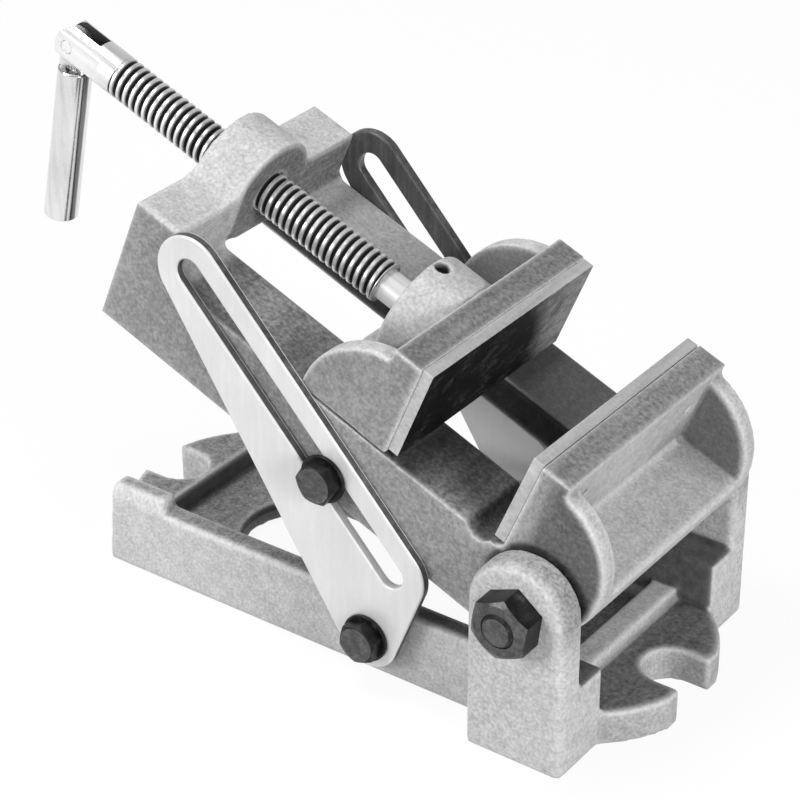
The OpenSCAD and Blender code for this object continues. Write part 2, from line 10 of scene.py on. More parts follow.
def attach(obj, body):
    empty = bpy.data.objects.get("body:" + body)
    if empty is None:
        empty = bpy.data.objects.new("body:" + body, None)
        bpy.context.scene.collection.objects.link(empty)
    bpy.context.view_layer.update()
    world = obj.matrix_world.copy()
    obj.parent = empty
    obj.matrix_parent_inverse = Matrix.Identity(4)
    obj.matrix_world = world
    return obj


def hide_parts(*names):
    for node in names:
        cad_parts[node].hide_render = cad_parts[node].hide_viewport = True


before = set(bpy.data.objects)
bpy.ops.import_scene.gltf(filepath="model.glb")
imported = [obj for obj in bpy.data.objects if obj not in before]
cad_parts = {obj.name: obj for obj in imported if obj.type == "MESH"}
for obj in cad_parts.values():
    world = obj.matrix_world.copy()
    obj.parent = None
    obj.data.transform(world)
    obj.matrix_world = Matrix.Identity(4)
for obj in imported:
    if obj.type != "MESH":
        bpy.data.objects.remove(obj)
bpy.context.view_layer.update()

MM = 0.001

# Sizes that the pieces below share with the part's source
REST_TILT = math.radians(22.6)
PIVOT_H = 58.8 * MM
RAIL_TOP = 8.6 * MM
JAW_TOP = 48.6 * MM
DECK_TOP = 16.6 * MM
FIXED_PLATE_BACK = -18.4 * MM
MOVABLE_PLATE_BACK = -69.6 * MM
GRIP_MIDDLE = 26.7 * MM
SCREW_UP = 25.1 * MM
SCREW_R = 7.95 * MM
SCREW_ROOT_R = 6.15 * MM
SCREW_LEAD = 3.175 * MM
THREAD_FRONT = -114.8 * MM
THREAD_REAR = -242.0 * MM
CLEVIS_SLOT = 6.0 * MM
CLEVIS_SLOT_END = -252.3 * MM
BRIDGE_FRONT = -170.5 * MM
EAR_OUT = 62.0 * MM
EAR_R = 19.5 * MM
PIVOT_R = 6.35 * MM
PIVOT_AF = 20.5 * MM
NUT_T = 10.0 * MM
NUT_TURN = 22.0
BOLT_R = 4.75 * MM
BOLT_AF = 14.0 * MM
BOLT_HEAD_T = 5.0 * MM
HEAD_IN = 55.85 * MM
LINK_PIVOT = (-65.8 * MM, 19.6 * MM)
PIVOT_BOLT_END = 37.0 * MM
SLOT_BOLT = (-84.2 * MM, -13.7 * MM)
SLOT_BOLT_END = 50.15 * MM
BOLT_TURN = 20.0

# Small allowances: play of a turned shank, depth of a painted face, points that are one,
# and edges that are too short to keep
PLAY = 0.05 * MM
FACE_DEPTH = 0.2 * MM
SAME_SPOT = 0.002 * MM
HAIRLINE = 0.0001 * MM

# The vise is described lying flat about its tilt axis: u forward, y across, w up.
WORLD = Matrix.Identity(4)
VISE = Matrix.Translation((0, 0, PIVOT_H)) @ Matrix.Rotation(REST_TILT, 4, "Y")


# Node trees

def plain(grey):
    """A grey as a full colour."""
    return (grey, grey, grey, 1.0)


class Field:
    """A socket of a node tree that takes part in Python sums."""

    def __init__(self, tree, socket):
        self.tree = tree
        self.socket = socket

    def maths(self, operation, *values):
        return self.tree.node("ShaderNodeMath", {"operation": operation}, *values)

    def __add__(self, other):
        return self.maths("ADD", self, other)

    def __radd__(self, other):
        return self.maths("ADD", other, self)

    def __sub__(self, other):
        return self.maths("SUBTRACT", self, other)

    def __rsub__(self, other):
        return self.maths("SUBTRACT", other, self)

    def __mul__(self, other):
        return self.maths("MULTIPLY", self, other)

    def __truediv__(self, other):
        return self.maths("DIVIDE", self, other)

    def __mod__(self, other):
        return self.maths("FLOORED_MODULO", self, other)

    def __neg__(self):
        return self.maths("MULTIPLY", self, -1.0)

    def __abs__(self):
        return self.maths("ABSOLUTE", self)

    def power(self, exponent):
        return self.maths("POWER", self, exponent)

    def sine(self):
        return self.maths("SINE", self)

    def cosine(self):
        return self.maths("COSINE", self)

    def below(self, limit):
        return self.maths("LESS_THAN", self, limit)

    def above(self, limit):
        return self.maths("GREATER_THAN", self, limit)

    def between(self, low, high):
        return self.maths("MINIMUM", self.maths("MAXIMUM", self, low), high)

    def ramp(self, low, high):
        """0 below low, 1 above high, straight between them."""
        return self.tree.node("ShaderNodeMapRange", {"clamp": True},
                              Value=self, From_Min=low, From_Max=high)


class Tree:
    """A node tree whose nodes come from a few methods."""

    def __init__(self, tree):
        self.tree = tree

    def node(self, kind, settings=None, *values, output=None, **named):
        """Adds a node and returns one of its outputs, the first one if none is named."""
        node = self.tree.nodes.new(kind)
        for key, value in (settings or {}).items():
            if key == "stops":
                self.set_stops(node.color_ramp, value)
            else:
                setattr(node, key, value)
        inputs = [s for s in node.inputs if s.enabled]
        for socket, value in zip(inputs, values):
            self.feed(socket, value)
        for key, value in named.items():
            wanted = key.replace("_", " ")
            self.feed(next(s for s in inputs if s.name == wanted), value)
        outputs = [s for s in node.outputs if s.enabled]
        chosen = outputs[0] if output is None else next(s for s in outputs if s.name == output)
        return Field(self, chosen)

    def feed(self, socket, value):
        """Links a field to a socket, or sets the socket to a value."""
        if isinstance(value, Field):
            self.tree.links.new(value.socket, socket)
        else:
            socket.default_value = value

    def parts(self, vector):
        """The X, Y and Z of a vector."""
        split = self.node("ShaderNodeSeparateXYZ", None, vector).socket.node
        return [Field(self, socket) for socket in split.outputs]

    @staticmethod
    def set_stops(ramp, stops):
        while len(ramp.elements) > 1:
            ramp.elements.remove(ramp.elements[-1])
        for index, (place, grey) in enumerate(stops):
            element = ramp.elements[0] if index == 0 else ramp.elements.new(place)
            element.position = place
            element.color = plain(grey)


# Materials

# How a grain is stretched: evenly, or into streaks along one direction of its frame
EVEN = (1.0, 1.0, 1.0)
ACROSS = (1.0, 0.07, 1.0)
PARTLY_ACROSS = (1.0, 0.3, 1.0)
KEEPER_STREAKS = (0.1, 1.0, 1.0)
SCREW_STREAKS = (0.06, 1.0, 1.0)
HANDLE_STREAKS = (1.0, 1.0, 0.05)
LINK_STREAKS = (1.0, 1.0, 0.1)

# Where on a factor the dark, the middle and the bright grey lie
COAT_AT = (0.36, 0.50, 0.62)
SIDE_AT = (0.42, 0.50, 0.58)
MILLED_AT = (0.34, 0.50, 0.68)
BARE_AT = (0.33, 0.50, 0.68)
GRIP_HIGHLIGHT_AT = (0.36, 0.50, 0.64)
STEEL_AT = (0.35, 0.52, 0.68)
BLACK_AT = (0.40, 0.58, 0.76)

# The dark, middle and bright grey of a milled face that is given no others
MILLED_GREYS = (0.09, 0.19, 0.36)

# Colours that lie over a finish: white, lighter rims (worn edges with a painted highlight),
# casting pits, painted shade in hollows, a painted dark reflection, painted shade in covered
# places, and painted shade in thread grooves and slots
WHITE = plain(1.0)
RIM_WEAR_AND_HIGHLIGHT = plain(0.74)
PIT = plain(0.12)
HOLLOW_SHADE = plain(0.05)
DARK_REFLECTION = plain(0.03)
OCCLUSION_SHADE = plain(0.012)
THREAD_AND_SLOT_SHADE = plain(0.004)


class Finish(Tree):
    """A material's node tree round a Principled shader."""

    def __init__(self, name, rough=0.5, metal=0.0, specular=0.5):
        self.material = bpy.data.materials.new(name)
        self.material.use_nodes = True
        super().__init__(self.material.node_tree)
        self.shader = self.tree.nodes["Principled BSDF"]
        self.set("Roughness", rough)
        self.set("Metallic", metal)
        self.set("Specular IOR Level", specular)
        self.place = self.node("ShaderNodeTexCoord", output="Object")

    def set(self, socket, value):
        self.feed(self.shader.inputs[socket], value)

    def lay(self, home, stretch):
        """Object coordinates turned into a frame of their own and stretched."""
        turned = self.node("ShaderNodeVectorRotate", {"rotation_type": "EULER_XYZ"},
                           Vector=self.place, Rotation=home.inverted().to_euler())
        return self.node("ShaderNodeVectorMath", {"operation": "MULTIPLY"}, turned, stretch)

    def spot(self, home):
        """The three coordinates in a frame of their own, from its origin."""
        origin = home.to_3x3().inverted() @ home.translation
        return [part - start for part, start in zip(self.parts(self.lay(home, EVEN)), origin)]

    def noise(self, scale, detail, rough, vector=None):
        return self.node("ShaderNodeTexNoise", None, Vector=vector or self.place,
                         Scale=scale, Detail=detail, Roughness=rough)

    def cells(self, scale):
        return self.node("ShaderNodeTexVoronoi", {"feature": "F1"}, Vector=self.place,
                         Scale=scale, output="Distance")

    def attribute(self, name):
        return self.node("ShaderNodeAttribute", {"attribute_name": name}, output="Fac")

    def grey(self, factor, places, greys):
        """Greys that lie at the given places of a factor."""
        return self.node("ShaderNodeValToRGB", {"stops": list(zip(places, greys))}, Fac=factor)

    def blend(self, factor, first, second):
        """Mixes two colours, either of them a link or a colour."""
        node = self.tree.nodes.new("ShaderNodeMix")
        node.data_type = "RGBA"
        colours = [s for s in node.inputs if s.type == "RGBA"]
        self.feed(node.inputs[0], factor)
        self.feed(colours[0], first)
        self.feed(colours[1], second)
        return Field(self, next(s for s in node.outputs if s.type == "RGBA"))

    def bump(self, height, distance, strength):
        return self.node("ShaderNodeBump", None, Height=height, Distance=distance,
                         Strength=strength)

    def grinding(self, home, stretch):
        """Streaks and specks of ground steel: the streaks, large clouds and all of it mixed."""
        streaks = self.noise(320.0, 3.0, 0.62, self.lay(home, stretch))
        specks = self.noise(700.0, 4.0, 0.7)
        clouds = self.noise(40.0, 3.0, 0.55)
        self.set("Normal", self.bump(streaks * 0.6 + specks * 0.4, 0.14 * MM, 0.5))
        return streaks, clouds, streaks * 0.36 + specks * 0.34 + clouds * 0.30

    def brushing(self, stretch):
        """Brush marks of bright steel: the marks, large clouds and all of it mixed."""
        brush = self.noise(420.0, 3.0, 0.6, self.lay(WORLD, stretch))
        clouds = self.noise(35.0, 3.0, 0.5)
        fine = self.noise(1500.0, 2.0, 0.5)
        self.set("Normal", self.bump(brush * 0.7 + fine * 0.3, 0.03 * MM, 0.4))
        return brush, clouds, brush * 0.4 + clouds * 0.45 + fine * 0.15


def cast_finish(name, grain, home, light, side, milled=MILLED_GREYS, bare=MILLED_GREYS):
    """Sand-cast iron: a pebbled coat, plainer sides, milled faces, lighter rims that are worn
    edges with a painted highlight, and painted shade in hollows and covered places.

    grain is the height of the pebbles. light, side, milled and bare are each the dark,
    middle and bright grey of the coat, of the sides, of the dark sliding faces and of the
    lighter milled tops."""
    f = Finish(name, specular=0.3)
    sand = f.noise(850.0, 1.5, 0.5)
    lumps = f.noise(240.0, 3.0, 0.5)
    clouds = f.noise(24.0, 3.0, 0.55)
    pits = f.cells(520.0).ramp(0.05, 0.22)
    streaks = f.noise(300.0, 3.0, 0.62, f.lay(home, ACROSS))
    specks = f.noise(640.0, 2.0, 0.6).ramp(0.30, 0.70)
    coat = 0.14 + sand * 0.34 + lumps * 0.20 + clouds * 0.18
    mill = 0.10 + streaks * 0.36 + specks * 0.28 + clouds * 0.16
    is_side, is_milled, is_bare = (f.attribute(key) for key in ("side", "milled", "bare"))
    cut = 1.0 - (1.0 - is_milled) * (1.0 - is_bare)
    colour = f.grey(coat, COAT_AT, light)
    colour = f.blend(is_side, colour, f.grey(coat, SIDE_AT, side))
    colour = f.blend(is_milled, colour, f.grey(mill, MILLED_AT, milled))
    colour = f.blend(is_bare, colour, f.grey(mill, BARE_AT, bare))
    colour = f.blend((1.0 - pits) * (1.0 - cut) * 0.22, colour, PIT)
    # Painted shade in the hollows and in the places that the casting covers
    colour = f.blend(f.attribute("hollow") * (0.25 + lumps * 0.4), colour, HOLLOW_SHADE)
    colour = f.blend(f.attribute("cover") * (0.75 + lumps * 0.4), colour, OCCLUSION_SHADE)
    # Lighter rims: worn edges with a painted highlight
    colour = f.blend(f.attribute("rim") * (0.25 + sand * 0.45), colour, RIM_WEAR_AND_HIGHLIGHT)
    f.set("Base Color", colour)
    f.set("Metallic", cut * 0.25)
    f.set("Roughness", 0.58 + (sand - 0.5) * 0.25 - cut * 0.10)
    height = (sand * 0.35 + lumps * 0.6 + pits * 0.15) * (1.0 - cut * 0.75) + mill * cut * 0.35
    f.set("Normal", f.bump(height, grain, 0.8))
    return f.material


def ground_finish(name, greys, rough, metal, home, stretch):
    """Ground or milled steel, streaked along one direction and finely speckled."""
    f = Finish(name, metal=metal)
    streaks, _, tone = f.grinding(home, stretch)
    f.set("Base Color", f.grey(tone, MILLED_AT, greys))
    f.set("Roughness", rough + (streaks - 0.5) * 0.3)
    return f.material


def grip_finish(name):
    """Blackened grip face, speckled, with a painted highlight that lightens it towards its upper
    far corner.
    """
    f = Finish(name, specular=0.15)
    _, y, w = f.spot(VISE)
    streaks, clouds, tone = f.grinding(VISE, PARTLY_ACROSS)
    reach = y + (w - GRIP_MIDDLE) * 0.7 + (clouds - 0.5) * (20 * MM)
    # A painted highlight towards the upper far corner
    wear_and_highlight = reach.ramp(20 * MM, 36 * MM)
    black = f.grey(tone, MILLED_AT, (0.002, 0.007, 0.10))
    grey = f.grey(tone, GRIP_HIGHLIGHT_AT, (0.07, 0.20, 0.42))
    f.set("Base Color", f.blend(wear_and_highlight, black, grey))
    f.set("Roughness", 0.75 + (streaks - 0.5) * 0.3)
    return f.material


def handle_finish(name):
    """Polished steel, faintly brushed along its length, with a painted dark reflection on its
    inner side.
    """
    f = Finish(name, metal=1.0)
    brush, clouds, tone = f.brushing(HANDLE_STREAKS)
    bright = f.grey(tone, STEEL_AT, (0.62, 0.78, 0.90))
    # A painted dark reflection along the side that faces the vise
    painted_dark = (f.attribute("inner") + (tone - 0.5) * 0.6).ramp(0.40, 0.65)
    f.set("Base Color", f.blend(painted_dark * 0.78, bright, DARK_REFLECTION))
    f.set("Roughness", 0.16 + (brush - 0.5) * 0.16 + (clouds - 0.5) * 0.10)
    return f.material


def link_finish(name, greys, dark_from, dark_to):
    """Zinc plated link: smooth and pale, darkened between two heights above the table as painted
    shade.
    """
    f = Finish(name, metal=0.25)
    brush, clouds, tone = f.brushing(LINK_STREAKS)
    _, _, height = f.parts(f.place)
    # Painted shade between the two heights
    painted_dark = (height + (clouds - 0.5) * (10 * MM)).ramp(dark_from, dark_to)
    dull = f.grey(tone, STEEL_AT, (0.06, 0.13, 0.26))
    f.set("Base Color", f.blend(painted_dark, f.grey(tone, STEEL_AT, greys), dull))
    f.set("Roughness", 0.38 + (brush - 0.5) * 0.16 + (clouds - 0.5) * 0.10)
    return f.material


def screw_finish(name, greys):
    """Bright turned steel with painted shade down in the thread and in the clevis slot."""
    f = Finish(name)
    u, y, w = f.spot(VISE)
    radius = (y.power(2.0) + (w - SCREW_UP).power(2.0)).power(0.5)
    threaded = u.above(THREAD_REAR) * u.below(THREAD_FRONT)
    brush = f.noise(500.0, 3.0, 0.6, f.lay(VISE, SCREW_STREAKS))
    clouds = f.noise(45.0, 3.0, 0.5)
    # Painted shade down in the thread and in the clevis slot
    groove = threaded * (1.0 - radius.ramp(SCREW_ROOT_R + 0.9 * MM, SCREW_R - PLAY))
    slot = u.below(CLEVIS_SLOT_END) * abs(y).below(CLEVIS_SLOT / 2 + 0.02 * MM)
    groove = 1.0 - (1.0 - groove) * (1.0 - slot)
    colour = f.grey(brush * 0.5 + clouds * 0.5, STEEL_AT, greys)
    f.set("Base Color", f.blend(groove * 0.97, colour, THREAD_AND_SLOT_SHADE))
    neck = u.above(THREAD_FRONT)
    f.set("Metallic", 0.70 - neck * 0.55 - groove * 0.6)
    f.set("Roughness", 0.30 + (brush - 0.5) * 0.16 + groove * 0.4)
    f.set("Normal", f.bump(brush, 0.03 * MM, 0.4))
    return f.material


def black_finish(name):
    """Black oxide on bolts and nuts, rubbed lighter in places."""
    f = Finish(name, metal=0.30, specular=0.35)
    grain = f.noise(900.0, 3.0, 0.6)
    wear_and_highlight = f.noise(240.0, 4.0, 0.65)
    f.set("Base Color", f.grey(wear_and_highlight, BLACK_AT, (0.003, 0.013, 0.06)))
    f.set("Roughness", 0.30 + grain * 0.22)
    f.set("Normal", f.bump(grain, 0.08 * MM, 0.4))
    return f.material


base_cast = cast_finish("base_cast", 0.45 * MM, WORLD,
                        light=(0.36, 0.56, 0.74), side=(0.15, 0.26, 0.38),
                        milled=(0.12, 0.21, 0.33))
vise_cast = cast_finish("vise_cast", 0.35 * MM, VISE,
                        light=(0.33, 0.515, 0.68), side=(0.22, 0.30, 0.385),
                        bare=(0.15, 0.25, 0.38))
jaw_cast = cast_finish("jaw_cast", 0.35 * MM, VISE,
                       light=(0.36, 0.54, 0.71), side=(0.195, 0.27, 0.35),
                       bare=(0.12, 0.205, 0.32))
grip_face = grip_finish("grip_face")
plate_edge = ground_finish("plate_edge", (0.38, 0.54, 0.70), rough=0.40, metal=0.4,
                           home=VISE, stretch=ACROSS)
keeper_face = ground_finish("keeper_face", (0.16, 0.24, 0.36), rough=0.45, metal=0.5,
                            home=VISE, stretch=KEEPER_STREAKS)
screw_steel = screw_finish("screw_steel", (0.72, 0.86, 0.95))
handle_steel = handle_finish("handle_steel")

# The near link's faces get no painted shade: it would start above the part's top.
UNSHADED_UP_TO = 1000 * MM
link_steel = link_finish("link_steel", (0.71, 0.77, 0.84), UNSHADED_UP_TO, 2 * UNSHADED_UP_TO)
# The far link's paler greys are painted light on its shaded face; from 85 mm up it darkens as
# painted shade
far_link_steel = link_finish("far_link_steel", (0.86, 0.91, 0.95), 85 * MM, 105 * MM)
slot_edge = link_finish("slot_edge", (0.48, 0.60, 0.72), 60 * MM, 78 * MM)
# The links' outline faces are dark as painted shade
link_edge = ground_finish("link_edge", (0.05, 0.11, 0.22), rough=0.45, metal=0.4,
                          home=WORLD, stretch=EVEN)
rubbed_steel = ground_finish("rubbed_steel", (0.03, 0.08, 0.20), rough=0.35, metal=0.5,
                             home=WORLD, stretch=EVEN)
black_steel = black_finish("black_steel")


# Pieces

# Triangles that lie flatter than this to one another are one face
FLAT = math.radians(0.4)


def add_object(name, mesh, materials=()):
    for material in materials:
        mesh.materials.append(material)
    holder = bpy.data.objects.new(name, mesh)
    bpy.context.scene.collection.objects.link(holder)
    return holder


def place(name, mesh, materials, body, slot, *nodes):
    """Adds a finished piece to a body in place of its CAD nodes."""
    piece = add_object(name, mesh, materials)
    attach(piece, body)
    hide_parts(*nodes)
    return piece


def evaluated(holder):
    """The mesh of an object with its modifiers done; the object goes away."""
    mesh = bpy.data.meshes.new_from_object(
        holder.evaluated_get(bpy.context.evaluated_depsgraph_get()))
    bpy.data.objects.remove(holder)
    return mesh


def merged(node, home=WORLD):
    """A copy of a CAD node in a frame of its own, its split corners joined."""
    bm = bmesh.new()
    bm.from_mesh(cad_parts[node].data)
    bmesh.ops.remove_doubles(bm, verts=bm.verts, dist=SAME_SPOT)
    bmesh.ops.transform(bm, matrix=home.inverted(), verts=bm.verts)
    return bm


def flatten(bm):
    """Makes each flat face one polygon."""
    bmesh.ops.dissolve_limit(bm, angle_limit=FLAT, verts=bm.verts, edges=bm.edges)
    bm.normal_update()


def to_mesh(bm, name, sharp=35.0):
    """Turns a bmesh into a smooth mesh with its sharp edges marked."""
    bmesh.ops.recalc_face_normals(bm, faces=bm.faces)
    for face in bm.faces:
        face.smooth = True
    for edge in bm.edges:
        edge.smooth = len(edge.link_faces) == 2 and \
            edge.calc_face_angle(0.0) < math.radians(sharp)
    mesh = bpy.data.meshes.new(name)
    bm.to_mesh(mesh)
    bm.free()
    return mesh


def even(mesh):
    """Keeps broad flat faces flat beside their rounded edges."""
    holder = add_object(mesh.name, mesh)
    weigh = holder.modifiers.new("even", "WEIGHTED_NORMAL")
    weigh.keep_sharp = True
    return evaluated(holder)


def read(collection, key, width, kind=np.float64):
    """One property of every item of a mesh, as rows of numbers."""
    out = np.empty(len(collection) * width, dtype=kind)
    collection.foreach_get(key, out)
    return out.reshape(-1, width)


def write(mesh, name, values):
    """Gives a mesh a value at every point, for its finish to read."""
    mesh.attributes.new(name, "FLOAT", "POINT").data.foreach_set("value", values.ravel())


# Castings

# The step and the passes of the rounding, and how far round a point a wall shuts it off
RELAX_STEP = 0.5
EXTRA_PASSES = 14
COVER_REACH = 28 * MM
# Where rims, hollows and covered places start and where they are full
RIM_BEND = (40.0, 190.0)
HOLLOW_BEND = (40.0, 200.0)
COVER_SHARE = (0.22, 0.77)
# A small number that keeps a sum from being divided by nothing
TINY = 1e-12


def neighbours(edges, size):
    """How many edges meet at each point, at least 1."""
    return np.maximum(np.bincount(edges.ravel(), minlength=size), 1)


def relax(values, edges, weight, passes):
    """Moves each value towards the mean of its neighbours, as far as its weight says."""
    size = len(values)
    first, second = edges[:, 0], edges[:, 1]
    count = neighbours(edges, size)
    for _ in range(passes):
        for axis in range(values.shape[1]):
            column = values[:, axis]
            total = np.bincount(first, column[second], size) \
                + np.bincount(second, column[first], size)
            values[:, axis] = column + RELAX_STEP * weight * (total / count - column)


def curvature(points, normals, edges):
    """How sharply the skin bends at each point, outward above 0 and inward below it."""
    size = len(points)
    first, second = edges[:, 0], edges[:, 1]
    along = points[second] - points[first]
    turn = ((normals[second] - normals[first]) * along).sum(axis=1)
    bend = turn / np.maximum((along ** 2).sum(axis=1), TINY)
    total = np.bincount(first, bend, size) + np.bincount(second, bend, size)
    return (total / neighbours(edges, size)).reshape(-1, 1)


# The rays that feel for cover run to the twelve corners of an icosahedron
GOLDEN = (1.0 + math.sqrt(5.0)) / 2.0
RAYS = [Vector(way).normalized() for a in (-1, 1) for b in (-GOLDEN, GOLDEN)
        for way in ((0, a, b), (a, b, 0), (b, 0, a))]
# They start off the skin, leave out flat slopes, and a far wall counts for less
RAY_START = 0.4 * MM
LEAST_SLOPE = 0.2
FAR_LOSS = 0.6


def covered(mesh, points, normals):
    """How far the casting shuts off each of its own points from the open, from 0 to 1."""
    tree = BVHTree.FromPolygons([Vector(p) for p in points],
                                [tuple(face.vertices) for face in mesh.polygons])
    out = np.zeros((len(points), 1))
    for index, (spot, normal) in enumerate(zip(points, normals)):
        start = Vector(spot + normal * RAY_START)
        up = Vector(normal)
        share, total = 0.0, TINY
        for way in RAYS:
            slope = way.dot(up)
            if slope > LEAST_SLOPE:
                total += slope
                far = tree.ray_cast(start, way, COVER_REACH)[3]
                if far is not None:
                    share += slope * (1.0 - FAR_LOSS * far / COVER_REACH)
        out[index] = share / total
    return out


def fade(values, start, end, least=0.0, most=1.0):
    """0 at start and 1 at end, straight between them, kept from least to most."""
    return np.clip((values - start) / (end - start), least, most)


def casting(node, body, slot, material, home, voxel, passes, soft, zones):
    """Rebuilds a CAD casting with rounded edges and tells its zones to the material.

    soft gives the weight of the extra rounding, from the points. zones gives the painted
    areas, from the points and normals. Both take the points in millimetres and in the
    casting's own frame."""
    holder = add_object(node + "_rough", to_mesh(merged(node, home), node + "_rough"))
    skin = holder.modifiers.new("skin", "REMESH")
    skin.mode = "VOXEL"
    skin.voxel_size = voxel
    mesh = evaluated(holder)
    points = read(mesh.vertices, "co", 3)
    edges = read(mesh.edges, "vertices", 2, np.int32)
    everywhere = np.ones(len(points))
    relax(points, edges, everywhere, passes)
    relax(points, edges, soft(points / MM), EXTRA_PASSES)
    mesh.vertices.foreach_set("co", points.ravel())
    mesh.update()
    normals = read(mesh.vertex_normals, "vector", 3)
    curve = curvature(points, normals, edges)
    relax(curve, edges, everywhere, passes=3)
    cover = covered(mesh, points, normals)
    relax(cover, edges, everywhere, passes=4)
    painted = zones(points / MM, normals)
    lit = painted.get("lit", 0.0)
    # Hollows and covered places get painted shade, and rims get wear with a painted highlight;
    # where lit says so, a hollow takes a painted highlight instead
    hollow = fade(-curve[:, 0], *HOLLOW_BEND)
    rim = fade(curve[:, 0], *RIM_BEND) * painted["rim_share"]
    write(mesh, "rim", np.maximum(rim, hollow * lit))
    write(mesh, "hollow", hollow * (1.0 - lit))
    painted["cover"] = np.maximum(fade(cover[:, 0], *COVER_SHARE), painted["shade"])
    for name in ("cover", "side", "milled", "bare"):
        values = (painted.get(name, 0.0) * everywhere).reshape(-1, 1)
        relax(values, edges, everywhere, passes=1)
        write(mesh, name, values)
    mesh.transform(home)
    mesh.polygons.foreach_set("use_smooth", [True] * len(mesh.polygons))
    place(node + "_cast", mesh, [material], body, slot, node)


# Zones of the castings, told in millimetres

FAR = 1000.0
ALL = (-FAR, FAR)
RAIL, JAW, DECK, BRIDGE, EAR = (
    size / MM for size in (RAIL_TOP, JAW_TOP, DECK_TOP, BRIDGE_FRONT, EAR_R))


def over(limit):
    return (limit, FAR)


def under(limit):
    return (-FAR, limit)


def box(p, x=ALL, across=ALL, z=ALL):
    """Which points lie between limits; across counts from the middle to either side."""
    inside = np.ones(len(p), dtype=bool)
    for values, (low, high) in ((p[:, 0], x), (np.abs(p[:, 1]), across), (p[:, 2], z)):
        inside &= (values > low) & (values < high)
    return inside


def facing(lean, start, rise, most=1.0):
    """How far a face leans past start, from 0 to most."""
    return np.clip((lean - start) * rise, 0.0, most)


def level(n):
    return facing(n[:, 2], 0.88, 12.0)


def milled_top(p, n):
    return level(n) * box(p, z=over(JAW - 0.8))


def outer_side(p, n):
    return facing(np.abs(n[:, 1]), 0.9, 15.0) * box(p, across=over(49))


BASE_EARS = {"across": over(48), "z": over(20)}
JAW_BOSS = {"x": under(-82), "across": under(26)}


def base_soft(p):
    """The ears are the roundest."""
    return np.where(box(p, **BASE_EARS), 0.32, 0.10)


def base_zones(p, n):
    """Dark lug tops, up-facing faces darkened as painted shade, plain ear crowns, and painted
    shade on the ear blocks, inside walls and under the vise.
    """
    ear = box(p, **BASE_EARS)
    low = box(p, z=under(12))
    top = facing(n[:, 2], 0.75, 6.0)
    lug = top * box(p, x=over(7), z=under(14.5))
    # Up-facing faces behind the ears take the darker side tone as painted shade
    floor = top * box(p, x=under(-5), across=under(49))
    crown = facing(-np.abs(n[:, 1]), -0.90, 4.0, 0.8) * ear * fade(p[:, 2], 44, 60)
    flank = 0.4 * low * box(p, x=over(20)) * (n[:, 2] < 0.5)
    # Painted shade on the ear blocks, on the rear cross wall's inner face, on the wall of the
    # floor opening and on the rail tops under the vise
    block = box(p, x=(-19, 19), across=(35, 50), z=over(13))
    block = block & ((n[:, 2] > 0.4) | (n[:, 1] * p[:, 1] < 0))
    wall = facing(n[:, 0], 0.6, 5.0, 0.8) * box(p, x=under(-90), across=under(40), z=over(5))
    core = facing(-np.abs(n[:, 2]), -0.5, 4.0, 0.6)
    core = core * box(p, x=(-170, -90), across=under(38), z=under(7))
    rail = facing(n[:, 2], 0.6, 4.0, 0.7) * box(p, x=(-62, -19), z=over(26))
    return {"milled": lug,
            "side": np.clip(floor + crown + flank, 0.0, 1.0),
            "shade": np.maximum(block * 0.85, wall + core + rail),
            "rim_share": np.where(ear, 0.30, np.where(low, 0.6, 1.0)) * (1.0 - block)}


def vise_soft(p):
    """The rims of the two front gussets are the roundest; the screw boss is a little round."""
    gusset = box(p, x=over(-6), across=over(38), z=over(-2))
    boss = box(p, x=under(BRIDGE + 4), z=over(20))
    return np.where(gusset, 0.4, np.where(boss, 0.03, 0.0))


